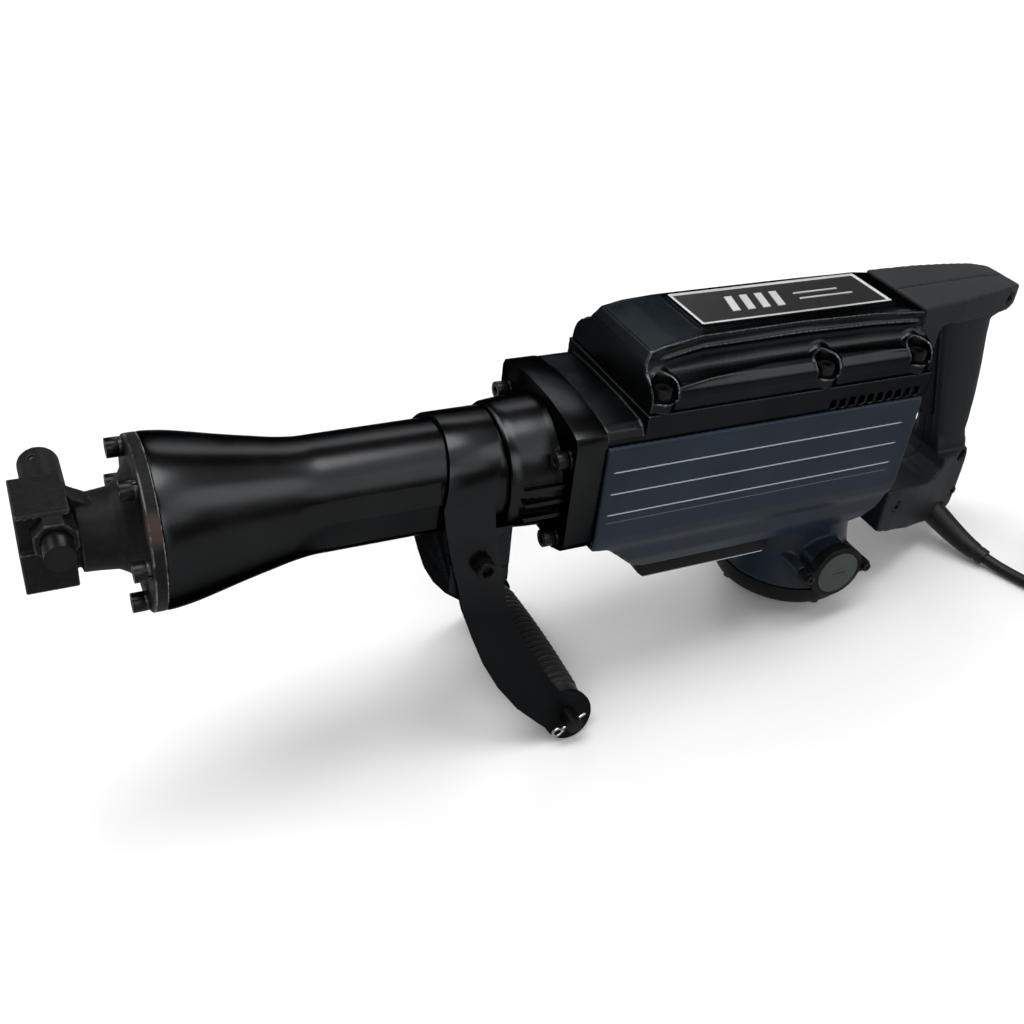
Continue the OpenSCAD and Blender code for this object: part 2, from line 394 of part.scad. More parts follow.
module side_grip() color("#1c1d1f") place() difference() {
  union() {
    ycyl(grip_r-2.6,-68.5,68.5,rod_x,rod_z);
    for (i=[0:19]) ycyl(grip_r-1.4+1.4*cos(i*9-85.5),-57+i*6,-53.4+i*6,rod_x,rod_z);
  }
  ycyl(6.57,-70,70,rod_x,rod_z);
}
module grip_rod() color("#404245") place() difference() {
  ycyl(6.5,-91,91,rod_x,rod_z);
  both() translate([rod_x,86,rod_z]) rotate([0,60,0]) cylinder(r=1.35,h=30,center=true);
}
module cotter_pins() color("#c8cacc") place() both() translate([rod_x,86,rod_z]) rotate([0,60,0]) {
  translate([0,0,-10]) cylinder(r=1.2,h=22);
  translate([0,0,-14]) rotate([90,0,0]) rotate_extrude() translate([4.4,0]) circle(r=1.1,$fn=24);
}

front_cover();
retainer_pin();
retainer_knob();
retainer_sleeve();
retainer_spring();
retainer_washer();
front_bolts();
front_spring_washers();
impact_bolt();
hammer_holder();
damper_ring();
cylinder_case();
cylinder_liner();
striker();
striker_o_ring();
piston();
piston_o_ring();
piston_pin();
connecting_rod();
crank_pin();
crankshaft();
crank_gear();
intermediate_shaft();
intermediate_gear();
armature_shaft();
armature_core();
commutator();
cooling_fan();
stator();
ball_bearings();
brush_holders();
carbon_brushes();
brush_caps();
brush_clamps();
brush_clamp_screws();
crankcase();
crank_cover();
cover_bolts();
flange_bolts();
motor_housing();
bottom_plate();
tail_cover();
tail_screws();
nameplate();
handle_left();
handle_right();
handle_screws();
trigger();
switch_body();
cord_guard();
power_cord();
cord_coil();
cord_tie();
mains_plug();
side_strap();
clamp_block();
clamp_bolt();
side_grip();
grip_rod();
cotter_pins();
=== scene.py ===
import bpy, bmesh, math, json
import numpy as np
from mathutils import Vector, Matrix


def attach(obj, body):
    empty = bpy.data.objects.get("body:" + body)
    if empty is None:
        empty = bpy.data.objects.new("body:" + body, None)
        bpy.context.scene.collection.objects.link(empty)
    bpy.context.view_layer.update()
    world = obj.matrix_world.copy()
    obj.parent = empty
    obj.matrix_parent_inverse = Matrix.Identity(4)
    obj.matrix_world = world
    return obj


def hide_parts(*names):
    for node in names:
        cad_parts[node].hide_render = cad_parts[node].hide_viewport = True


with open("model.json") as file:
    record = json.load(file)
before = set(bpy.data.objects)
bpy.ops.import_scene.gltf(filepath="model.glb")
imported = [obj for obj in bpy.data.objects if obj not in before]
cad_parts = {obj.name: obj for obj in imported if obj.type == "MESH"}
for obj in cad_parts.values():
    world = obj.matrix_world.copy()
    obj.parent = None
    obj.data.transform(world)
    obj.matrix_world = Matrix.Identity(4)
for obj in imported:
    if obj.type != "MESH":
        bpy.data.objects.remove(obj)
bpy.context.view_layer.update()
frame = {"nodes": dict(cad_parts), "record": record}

MM = 0.001
OFF_X, OFF_Z, PITCH = -382.79, 269.54, 10.0
# tool frame (mm, X along the hammer axis) to row frame (m)
PLACE = Matrix.Scale(MM, 4) @ Matrix.Translation((OFF_X, 0, OFF_Z)) @ Matrix.Rotation(math.radians(PITCH), 4, 'Y')
ROT = Matrix.Rotation(math.radians(PITCH), 3, 'Y')


def T(x, y, z):
    return PLACE @ Vector((x, y, z))


# ---------------------------------------------------------------- camera
def make_camera():
    cam = bpy.data.objects.new("camera", bpy.data.cameras.new("camera"))
    bpy.context.scene.collection.objects.link(cam)
    fwd = (ROT @ Vector((0.38698, 0.72303, -0.57225))).normalized()
    right = (ROT @ Vector((0.90662, -0.41153, 0.09314))).normalized()
    up = right.cross(fwd).normalized()
    m = Matrix((right, up, -fwd)).transposed().to_4x4()
    m.translation = T(-7.10, -642.08, 462.15)
    cam.matrix_world = m
    cam.data.lens = 42.31
    cam.data.sensor_width = 36.0
    cam.data.clip_start = 0.01
    bpy.context.scene.camera = cam
    return cam


make_camera()


# ---------------------------------------------------------------- helpers
def link(ob):
    bpy.context.scene.collection.objects.link(ob)
    return ob


def from_bm(name, bm, mat=None, smooth=True):
    me = bpy.data.meshes.new(name)
    bm.normal_update()
    bm.to_mesh(me)
    bm.free()
    ob = link(bpy.data.objects.new(name, me))
    if mat:
        me.materials.append(mat)
    if smooth:
        for p in me.polygons:
            p.use_smooth = True
    return ob


def apply_mods(ob):
    bpy.context.view_layer.update()
    dg = bpy.context.evaluated_depsgraph_get()
    me = bpy.data.meshes.new_from_object(ob.evaluated_get(dg), preserve_all_data_layers=True, depsgraph=dg)
    old = ob.data
    ob.modifiers.clear()
    ob.data = me
    if old.users == 0:
        bpy.data.meshes.remove(old)
    return ob


def by_angle(ob, deg=32):
    """smooth shading broken at edges sharper than deg"""
    me = ob.data
    bm = bmesh.new()
    bm.from_mesh(me)
    lim = math.radians(deg)
    for f in bm.faces:
        f.smooth = True
    for e in bm.edges:
        e.smooth = len(e.link_faces) == 2 and e.calc_face_angle(3.2) < lim
    bm.to_mesh(me)
    bm.free()


def cad_copy(name, piece=None):
    src = frame["nodes"][name]
    me = src.data.copy()
    ob = link(bpy.data.objects.new(piece or ("v_" + name), me))
    me.materials.clear()
    bm = bmesh.new()
    bm.from_mesh(me)
    bmesh.ops.remove_doubles(bm, verts=bm.verts, dist=2e-6)
    bm.to_mesh(me)
    bm.free()
    for a in [a.name for a in me.attributes if a.name in ("sharp_edge", "custom_normal", "sharp_face")]:
        me.attributes.remove(me.attributes[a])
    return ob


def stand_for(ob, node, mat, extra=()):
    me = ob.data
    idx = np.zeros(len(me.polygons), dtype=np.int32)
    me.polygons.foreach_get("material_index", idx)
    me.materials.clear()
    me.materials.append(mat)
    for e in extra:
        me.materials.append(e)
    me.polygons.foreach_set("material_index", idx if extra else idx * 0)
    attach(ob, ob_body(node))
    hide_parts(node)
    return ob


SLOT = {s["node"]: s["material_slot"] for s in frame["record"]["subparts"]}
BODY = {n: b for b, ns in frame["record"]["behaviour"]["bodies"].items() for n in ns}


def ob_body(node):
    return BODY[node]


def refine(name, mat, width=0.8, segs=2, angle=30, shade=34):
    """the CAD node's own shape with its sharp edges broken"""
    ob = cad_copy(name)
    me = ob.data
    bm = bmesh.new()
    bm.from_mesh(me)
    bmesh.ops.dissolve_limit(bm, angle_limit=math.radians(0.6), use_dissolve_boundaries=False, verts=bm.verts, edges=bm.edges, delimit=set())
    bm.to_mesh(me)
    bm.free()
    if width:
        b = ob.modifiers.new("bevel", 'BEVEL')
        b.width = width * MM
        b.segments = segs
        b.limit_method = 'ANGLE'
        b.angle_limit = math.radians(angle)
        b.use_clamp_overlap = True
        b.miter_outer = 'MITER_ARC'
        b.harden_normals = False
        apply_mods(ob)
    by_angle(ob, shade)
    return stand_for(ob, name, mat)


def voxel(name, mat, size=1.0, smooth=6, factor=0.5, extra=None, decimate=None, piece=None):
    """the CAD node's own shape rounded off as a casting or moulding is"""
    ob = cad_copy(name, piece)
    r = ob.modifiers.new("remesh", 'REMESH')
    r.mode = 'VOXEL'
    r.voxel_size = size * MM
    r.adaptivity = 0.0
    s = ob.modifiers.new("smooth", 'SMOOTH')
    s.factor = factor
    s.iterations = smooth
    if decimate:
        d = ob.modifiers.new("dec", 'DECIMATE')
        d.ratio = decimate
    apply_mods(ob)
    for p in ob.data.polygons:
        p.use_smooth = True
    return ob


# ---------------------------------------------------------------- materials
def mat_nodes(name):
    m = bpy.data.materials.new(name)
    m.use_nodes = True
    nt = m.node_tree
    nt.nodes.clear()
    out = nt.nodes.new("ShaderNodeOutputMaterial")
    b = nt.nodes.new("ShaderNodeBsdfPrincipled")
    nt.links.new(b.outputs[0], out.inputs[0])
    return m, nt, b


def setin(node, key, val):
    if key in node.inputs:
        node.inputs[key].default_value = val


def tool_coords(nt):
    """object coordinates turned into the tool frame, in millimetres"""
    tc = nt.nodes.new("ShaderNodeTexCoord")
    mp = nt.nodes.new("ShaderNodeMapping")
    mp.vector_type = 'POINT'
    # inverse of PLACE: rotate by -pitch after taking off the shift
    sub = nt.nodes.new("ShaderNodeVectorMath")
    sub.operation = 'SUBTRACT'
    sub.inputs[1].default_value = (OFF_X * MM, 0, OFF_Z * MM)
    nt.links.new(tc.outputs["Object"], sub.inputs[0])
    nt.links.new(sub.outputs[0], mp.inputs["Vector"])
    mp.inputs["Rotation"].default_value = (0, -math.radians(PITCH), 0)
    mp.inputs["Scale"].default_value = (1000, 1000, 1000)
    return mp.outputs[0]


def noise_node(nt, vec, scale, detail=3, rough=0.5, stretch=None):
    if stretch:
        mp = nt.nodes.new("ShaderNodeMapping")
        mp.inputs["Scale"].default_value = stretch
        nt.links.new(vec, mp.inputs["Vector"])
        vec = mp.outputs[0]
    n = nt.nodes.new("ShaderNodeTexNoise")
    n.inputs["Scale"].default_value = scale
    n.inputs["Detail"].default_value = detail
    n.inputs["Roughness"].default_value = rough
    nt.links.new(vec, n.inputs["Vector"])
    return n.outputs["Fac"]


def ramp(nt, fac, stops):
    r = nt.nodes.new("ShaderNodeValToRGB")
    els = r.color_ramp.elements
    while len(els) < len(stops):
        els.new(0.5)
    for e, (p, c) in zip(els, stops):
        e.position = p
        e.color = (*c, 1) if len(c) == 3 else c
    nt.links.new(fac, r.inputs[0])
    return r.outputs[0]


def rng(nt, fac, lo, hi, a=0.0, b=1.0):
    r = nt.nodes.new("ShaderNodeMapRange")
    r.inputs["From Min"].default_value = a
    r.inputs["From Max"].default_value = b
    r.inputs["To Min"].default_value = lo
    r.inputs["To Max"].default_value = hi
    nt.links.new(fac, r.inputs["Value"])
    return r.outputs[0]


def math_node(nt, op, a, b=None):
    m = nt.nodes.new("ShaderNodeMath")
    m.operation = op
    for i, v in enumerate((a, b)):
        if v is None:
            continue
        if isinstance(v, (int, float)):
            m.inputs[i].default_value = v
        else:
            nt.links.new(v, m.inputs[i])
    return m.outputs[0]


def bump(nt, bsdf, height, strength=0.2, dist=0.0003, prev=None):
    b = nt.nodes.new("ShaderNodeBump")
    b.inputs["Strength"].default_value = strength
    b.inputs["Distance"].default_value = dist
    nt.links.new(height, b.inputs["Height"])
    if prev is not None:
        nt.links.new(prev, b.inputs["Normal"])
    nt.links.new(b.outputs[0], bsdf.inputs["Normal"])
    return b.outputs[0]


def mix_rgb(nt, fac, a, b):
    m = nt.nodes.new("ShaderNodeMix")
    m.data_type = 'RGBA'
    for i, v in ((0, fac), (6, a), (7, b)):
        if isinstance(v, (int, float)):
            m.inputs[i].default_value = v
        elif isinstance(v, (tuple, list)):
            m.inputs[i].default_value = (*v, 1) if len(v) == 3 else v
        else:
            nt.links.new(v, m.inputs[i])
    return m.outputs[2]


def edge_wear_and_sheen(nt, amount=0.5, sharp=(0.53, 0.60)):
    """pointiness of the mesh, broken up by noise in surface(): bare metal on worn edges, and a painted highlight along
    the crank cover's ridge crests
    """
    g = nt.nodes.new("ShaderNodeNewGeometry")
    p = rng(nt, g.outputs["Pointiness"], 0, 1, sharp[0], sharp[1])
    return p


def surface(name, color, rough=0.4, metallic=0.0, coat=0.0, grain=260, grain_bump=0.15, bump_dist=0.0002, var=0.12,
            rough_var=0.08, spec=0.5, sheen=0.0, edge=None, wear_and_sheen=None, wear_and_sheen_col=(0.35, 0.34, 0.33), brush=None, coarse=0.02, mottled=None):
    """a painted, moulded or cast surface: colour and roughness vary over a few scales, with a fine grain bump.
    grain and coarse are cycles per millimetre-ish of tool space"""
    m, nt, b = mat_nodes(name)
    v = tool_coords(nt)
    big = noise_node(nt, v, coarse, 4, 0.55)
    fine = noise_node(nt, v, grain * 0.01, 4, 0.6)
    lo = tuple(c * (1 - var) for c in color)
    hi = tuple(min(1, c * (1 + var)) for c in color)
    col = ramp(nt, big, [(0.35, lo), (0.65, hi)])
    if mottled:
        blotch = noise_node(nt, v, mottled[1], 5, 0.65)
        col = mix_rgb(nt, ramp(nt, blotch, [(0.45, (0, 0, 0)), (0.62, (1, 1, 1))]), col, mottled[0])
    rv = math_node(nt, 'ADD', rng(nt, big, -rough_var, rough_var), rng(nt, fine, -rough_var * 0.6, rough_var * 0.6))
    r = math_node(nt, 'ADD', rv, rough)
    nt.links.new(r, b.inputs["Roughness"])
    # lighter colour on sharp convex edges: worn edges on the castings, painted highlight on the crank cover's ridge
    # crests
    if wear_and_sheen:
        w = edge_wear_and_sheen(nt, 1, wear_and_sheen)
        wn = noise_node(nt, v, 0.35, 5, 0.7)
        f = math_node(nt, 'MULTIPLY', w, rng(nt, wn, 0, 1, 0.35, 0.6))
        col = mix_rgb(nt, f, col, wear_and_sheen_col)
    nt.links.new(col, b.inputs["Base Color"])
    setin(b, "Metallic", metallic)
    setin(b, "Coat Weight", coat)
    setin(b, "Coat Roughness", 0.12)
    setin(b, "Specular IOR Level", spec)
    setin(b, "Sheen Weight", sheen)
    if edge is not None:
        # thin lacquer over metal: keep its grazing reflection low
        setin(b, "Specular Tint", (edge, edge, edge, 1))
    n = bump(nt, b, fine, grain_bump, bump_dist)
    if brush:
        # fine turning marks round the hammer axis: noise squeezed along X
        lines = noise_node(nt, v, 1.0, 3, 0.6, stretch=(brush, 0.02, 0.02))
        bump(nt, b, lines, 0.25, 0.00006, prev=n)
    return m


def tint(m, mask_fn, color, rough=None, metallic=None):
    """lay a second colour over a material where mask_fn gives 1"""
    nt = m.node_tree
    b = [n for n in nt.nodes if n.type == 'BSDF_PRINCIPLED'][0]
    v = tool_coords(nt)
    f = mask_fn(nt, v)
    for key, val in (("Base Color", color), ("Roughness", rough), ("Metallic", metallic)):
        if val is None:
            continue
        s_ = b.inputs[key]
        if key == "Base Color":
            src = s_.links[0].from_socket
            nt.links.new(mix_rgb(nt, f, src, val), s_)
        else:
            base = s_.links[0].from_socket if s_.links else s_.default_value
            x = nt.nodes.new("ShaderNodeMix")
            nt.links.new(f, x.inputs[0])
            if isinstance(base, float):
                x.inputs[2].default_value = base
            else:
                nt.links.new(base, x.inputs[2])
            x.inputs[3].default_value = val
            nt.links.new(x.outputs[0], s_)
    return f


def near_point(c, r0, r1, scale=0.2, amount=5.0, squash=(1, 1, 1)):
    """1 inside r0 of point c, 0 past r1, with a ragged edge"""
    def fn(nt, v):
        sub = nt.nodes.new("ShaderNodeVectorMath")
        sub.operation = 'SUBTRACT'
        sub.inputs[1].default_value = c
        nt.links.new(v, sub.inputs[0])
        mul = nt.nodes.new("ShaderNodeVectorMath")
        mul.operation = 'MULTIPLY'
        mul.inputs[1].default_value = squash
        nt.links.new(sub.outputs[0], mul.inputs[0])
        ln = nt.nodes.new("ShaderNodeVectorMath")
        ln.operation = 'LENGTH'
        nt.links.new(mul.outputs[0], ln.inputs[0])
        n = noise_node(nt, v, scale, 4, 0.6)
        d = math_node(nt, 'ADD', ln.outputs["Value"], rng(nt, n, -amount, amount))
        return rng(nt, d, 1, 0, r0, r1)
    return fn


def side_groove_highlights(nt, v):
    """painted highlight lines along the grooves on both sides of the motor housing"""
    sep = nt.nodes.new("ShaderNodeSeparateXYZ")
    nt.links.new(v, sep.inputs[0])
    ay = math_node(nt, 'ABSOLUTE', sep.outputs[1])
    side = rng(nt, ay, 0, 1, 61.6, 62.4)
    total = None
    for z, hw, k in ((21.1, 0.62, 1.0), (3.1, 0.62, 1.0), (-14.7, 0.62, 1.0), (-21.5, 0.4, 0.22)):
        d = math_node(nt, 'ABSOLUTE', math_node(nt, 'SUBTRACT', sep.outputs[2], z))
        f = math_node(nt, 'MULTIPLY', rng(nt, d, 1, 0, hw * 0.55, hw * 1.15), k)
        total = f if total is None else math_node(nt, 'MAXIMUM', total, f)
    span = math_node(nt, 'MULTIPLY', rng(nt, sep.outputs[0], 0, 1, 377, 379), rng(nt, sep.outputs[0], 1, 0, 626, 629))
    return math_node(nt, 'MULTIPLY', math_node(nt, 'MULTIPLY', total, side), span)


def rim_highlight_and_wear(nt, v):
    """painted highlight and bare worn metal along the edges where the turned rim meets its faces"""
    sep = nt.nodes.new("ShaderNodeSeparateXYZ")
    nt.links.new(v, sep.inputs[0])
    rad = math_node(nt, 'SQRT', math_node(nt, 'ADD', math_node(nt, 'MULTIPLY', sep.outputs[1], sep.outputs[1]), math_node(nt, 'MULTIPLY', sep.outputs[2], sep.outputs[2])))
    near = rng(nt, rad, 0, 1, 56.3, 56.9)
    a1 = rng(nt, math_node(nt, 'ABSOLUTE', math_node(nt, 'SUBTRACT', sep.outputs[0], 78.7)), 1, 0, 0.25, 0.7)
    a2 = rng(nt, math_node(nt, 'ABSOLUTE', math_node(nt, 'SUBTRACT', sep.outputs[0], 71.4)), 1, 0, 0.25, 0.7)
    n = noise_node(nt, v, 0.09, 4, 0.6)
    f = math_node(nt, 'MULTIPLY', math_node(nt, 'MULTIPLY', math_node(nt, 'MAXIMUM', a1, math_node(nt, 'MULTIPLY', a2, 0.6)), near), rng(nt, n, 0, 1, 0.42, 0.58))
    return f


def plate_edge(nt, v):
    """bright lower edge of the bottom plate"""
    sep = nt.nodes.new("ShaderNodeSeparateXYZ")
    nt.links.new(v, sep.inputs[0])
    low = rng(nt, sep.outputs[2], 1, 0, -95.9, -94.9)
    side = rng(nt, math_node(nt, 'ABSOLUTE', sep.outputs[1]), 0, 1, 43.2, 44.0)
    x = math_node(nt, 'MULTIPLY', rng(nt, sep.outputs[0], 0, 1, 423, 426), rng(nt, sep.outputs[0], 1, 0, 546, 549))
    return math_node(nt, 'MULTIPLY', math_node(nt, 'MULTIPLY', low, side), x)


def arm_lower_shade(nt, v):
    """painted shade: the arms below the clamp are darker and rougher than the band over the barrel"""
    sep = nt.nodes.new("ShaderNodeSeparateXYZ")
    nt.links.new(v, sep.inputs[0])
    return rng(nt, sep.outputs[2], 1, 0, -95, -62)


M = {}
M['rough_casting'] = surface("rough_casting", (0.0046, 0.0049, 0.0052), 0.5, 0.0, grain=55, grain_bump=0.6, bump_dist=0.0005, var=0.3, spec=0.14,
                             wear_and_sheen=(0.515, 0.56), wear_and_sheen_col=(0.075, 0.074, 0.071), mottled=((0.0085, 0.0088, 0.0090), 0.22))
tint(M['rough_casting'], near_point((75, -50, 29), 6.0, 14.0, 0.3, 3.0, (0.7, 1, 1)), (0.046, 0.032, 0.026), 0.4)
# pale lines on the flange rim edges: painted highlight and worn metal
tint(M['rough_casting'], rim_highlight_and_wear, (0.22, 0.215, 0.21), 0.35)
M['barrel_paint'] = surface("barrel_paint", (0.0380, 0.0392, 0.0408), 0.24, 1.0, grain=180, grain_bump=0.05, brush=2.2, var=0.1, edge=0.15)
M['case_paint'] = surface("case_paint", (0.0300, 0.0326, 0.0350), 0.34, 1.0, grain=120, grain_bump=0.12, edge=0.14,
                          wear_and_sheen=(0.52, 0.58), wear_and_sheen_col=(0.06, 0.062, 0.066))
# the pale crest colour of the cover is a painted highlight along its ridges
M['cover_paint'] = surface("cover_paint", (0.0310, 0.0342, 0.0365), 0.28, 1.0, grain=120, grain_bump=0.10, edge=0.16,
                           wear_and_sheen=(0.512, 0.55), wear_and_sheen_col=(0.13, 0.138, 0.145))
M['housing_navy'] = surface("housing_navy", (0.0118, 0.0200, 0.0310), 0.36, 0.0, coat=0.0, grain=220, grain_bump=0.1, spec=0.24)
# the pale lines are painted highlights on the housing's side grooves
tint(M['housing_navy'], side_groove_highlights, (0.34, 0.37, 0.42), 0.3)
M['black_plastic'] = surface("black_plastic", (0.0042, 0.0046, 0.0053), 0.42, grain=200, grain_bump=0.1, spec=0.15)
tint(M['black_plastic'], plate_edge, (0.62, 0.63, 0.65), 0.3)
M['handle_plastic'] = surface("handle_plastic", (0.0115, 0.0136, 0.0158), 0.50, grain=260, grain_bump=0.3, bump_dist=0.0002, spec=0.24)
M['cap_plastic'] = surface("cap_plastic", (0.0500, 0.0590, 0.0560), 0.45, grain=200, spec=0.16)
M['black_steel'] = surface("black_steel", (0.022, 0.022, 0.024), 0.30, 0.85, grain=200, var=0.25, spec=0.4)
M['arm_paint'] = surface("arm_paint", (0.0400, 0.0415, 0.0435), 0.24, 1.0, grain=160, grain_bump=0.05, edge=0.15)
# the darker colour on the lower arms is painted shade
tint(M['arm_paint'], arm_lower_shade, (0.0200, 0.0212, 0.0225), 0.5)
M['steel'] = surface("steel", (0.30, 0.30, 0.31), 0.34, 1.0, grain=300)
M['washer_steel'] = surface("washer_steel", (0.055, 0.055, 0.058), 0.36, 0.9, grain=300)
M['bright_clip'] = surface("bright_clip", (0.66, 0.66, 0.66), 0.24, 1.0, grain=300, grain_bump=0.05)
M['plate'] = surface("plate", (0.62, 0.63, 0.64), 0.36, 0.35, grain=300, grain_bump=0.05)
M['plate_field'] = surface("plate_field", (0.0046, 0.0048, 0.0054), 0.40, 0.0, grain=260, grain_bump=0.1, spec=0.17)
M['grip_rubber'] = surface("grip_rubber", (0.0115, 0.0120, 0.0130), 0.48, grain=160, grain_bump=0.3, spec=0.28)
M['cord_rubber'] = surface("cord_rubber", (0.0085, 0.0088, 0.0095), 0.46, grain=260, grain_bump=0.25, spec=0.3)
M['alloy'] = surface("alloy", (0.4, 0.4, 0.41), 0.35, 1.0, grain=200)
M['copper'] = surface("copper", (0.45, 0.2, 0.09), 0.35, 0.9, grain=200)
M['brass'] = surface("brass", (0.5, 0.36, 0.14), 0.3, 1.0, grain=200)
M['carbon'] = surface("carbon", (0.02, 0.02, 0.02), 0.5, grain=200)

for n, ob in frame["nodes"].items():
    ob.data.materials.clear()
    ob.data.materials.append(M[SLOT[n]])


# ---------------------------------------------------------------- cord
def W(x, y, z):
    """point in the floor frame used for the cord's route (mm) to the row frame (m)"""
    return Vector(((x + OFF_X) * MM, y * MM, z * MM))


RUN_A = [[729, -77, 8.2], [732.5, -88, 6.4], [736, -99, 5.4], [740, -112, 5.1], [745, -127, 5.1], [749.5, -142, 5.4], [753, -156, 6], [754, -168, 6.1]]
RUN_B = [[890, -152, 15], [890.5, -140, 15.3], [891, -128, 15.7], [891.5, -116, 16.2], [892, -104, 16.8], [892, -94, 17.2], [892, -86, 17.5]]
COIL = (822, -160)


def step(a, a0, a1, v0, v1):
    t = min(1, max(0, (a - a0) / (a1 - a0)))
    t = t * t * (3 - 2 * t)
    return v0 + (v1 - v0) * t


def coil_points():
    pts = []
    a, end = 6.0, 1973.0
    while a <= end + 0.01:
        r = 68.0
        if a > 240:
            r = step(a, 300, 350, 68, 58)
        if a > 600:
            r = step(a, 660, 710, 58, 48)
        z = step(a, 990, 1050, 5.0, 15.0)
        if a > 1200:
            r = step(a, 1300, 1348, 48, 58)
        if a > 1600:
            r = step(a, 1660, 1708, 58, 68)
        th = math.radians(187 + a)
        zz = z if a > 40 else step(a, 0, 40, 6.0, 5.0)
        pts.append([COIL[0] + r * math.cos(th), COIL[1] + r * math.sin(th), zz])
        a += 15.0 if a + 15 < end else max(end - a, 0.5)
    return pts


def make_cord():
    pts = RUN_A[:-1] + coil_points() + RUN_B
    cu = bpy.data.curves.new("power_cord", 'CURVE')
    cu.dimensions = '3D'
    sp = cu.splines.new('POLY')
    # resample on a smooth curve through the points
    P = [W(*p) for p in pts]
    out = []
    n = len(P)
    for i in range(n - 1):
        p0, p1, p2, p3 = P[max(i - 1, 0)], P[i], P[i + 1], P[min(i + 2, n - 1)]
        k = 3
        for j in range(k):
            t = j / k
            out.append(0.5 * ((2 * p1) + (p2 - p0) * t + (2 * p0 - 5 * p1 + 4 * p2 - p3) * t * t + (3 * p1 - p0 - 3 * p2 + p3) * t ** 3))
    out.append(P[-1])
    sp.points.add(len(out) - 1)
    for q, p in zip(sp.points, out):
        q.co = (*p, 1)
    cu.bevel_depth = 5 * MM
    cu.bevel_resolution = 5
    cu.use_fill_caps = True
    ob = link(bpy.data.objects.new("v_power_cord", cu))
    cu.materials.append(M['cord_rubber'])
    length = sum((b - a).length for a, b in zip(out, out[1:]))
    return ob, length


cord_ob, cord_len = make_cord()
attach(cord_ob, "hammer")
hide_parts("power_cord", "cord_coil")
print("cord length", cord_len)

# ---------------------------------------------------------------- detailed pieces
INV = PLACE.inverted()


def tool_mesh(ob):
    """vertex positions and normals of a piece in the tool frame, in millimetres"""
    me = ob.data
    n = len(me.vertices)
    co = np.empty(n * 3, dtype=np.float64)
    me.vertices.foreach_get("co", co)
    no = np.empty(n * 3, dtype=np.float64)
    me.vertices.foreach_get("normal", no)
    R = np.array(ROT.transposed())
    m = np.array(INV)
    p = co.reshape(-1, 3) @ m[:3, :3].T + m[:3, 3]
    return p, no.reshape(-1, 3) @ R.T


def put_back(ob, p):
    m = np.array(PLACE)
    co = p @ m[:3, :3].T + m[:3, 3]
    ob.data.vertices.foreach_set("co", co.ravel())
    ob.data.update()


def relax(ob, its=2, factor=0.5):
    s = ob.modifiers.new("smooth", 'SMOOTH')
    s.factor = factor
    s.iterations = its
    apply_mods(ob)
    for q in ob.data.polygons:
        q.use_smooth = True


def sstep(v, a, b):
    t = np.clip((v - a) / (b - a), 0, 1)
    return t * t * (3 - 2 * t)


def merge(a, b):
    """join mesh b into mesh a"""
    bm = bmesh.new()
    bm.from_mesh(a.data)
    bm.from_mesh(b.data)
    bm.to_mesh(a.data)
    bm.free()
    old = b.data
    bpy.data.objects.remove(b)
    bpy.data.meshes.remove(old)
    return a


def cut_front(ob, x):
    """drop what lies in front of the plane x of the tool frame"""
    bm = bmesh.new()
    bm.from_mesh(ob.data)
    bmesh.ops.bisect_plane(bm, geom=bm.verts[:] + bm.edges[:] + bm.faces[:], dist=1e-7,
                           plane_co=T(x, 0, 0), plane_no=ROT @ Vector((1, 0, 0)), clear_inner=True)
    bm.to_mesh(ob.data)
    bm.free()


# ---- barrel: one smooth turned surface with the pressed flats
PROF = [(79, 57.2), (80, 57.5), (83, 57.5), (90, 56.8), (99, 55.4), (112, 52.6), (125, 49.6), (138, 46.8), (150, 44.4), (161, 42.2), (171, 40.7), (180, 40), (190, 40)]


def barrel_radius(x):
    xs = np.array([a for a, _ in PROF], float)
    rs = np.array([b for _, b in PROF], float)
    if x >= 190:
        return 40.0
    # smooth cubic through the profile points
    i = int(np.searchsorted(xs, x, side='right') - 1)
    i = max(0, min(len(xs) - 2, i))
    def slope(k):
        if k <= 0 or k >= len(xs) - 1:
            return 0.0
        return (rs[k + 1] - rs[k - 1]) / (xs[k + 1] - xs[k - 1])
    h = xs[i + 1] - xs[i]
    t = (x - xs[i]) / h
    return float((2 * t**3 - 3 * t**2 + 1) * rs[i] + (t**3 - 2 * t**2 + t) * h * slope(i) + (-2 * t**3 + 3 * t**2) * rs[i + 1] + (t**3 - t**2) * h * slope(i + 1))


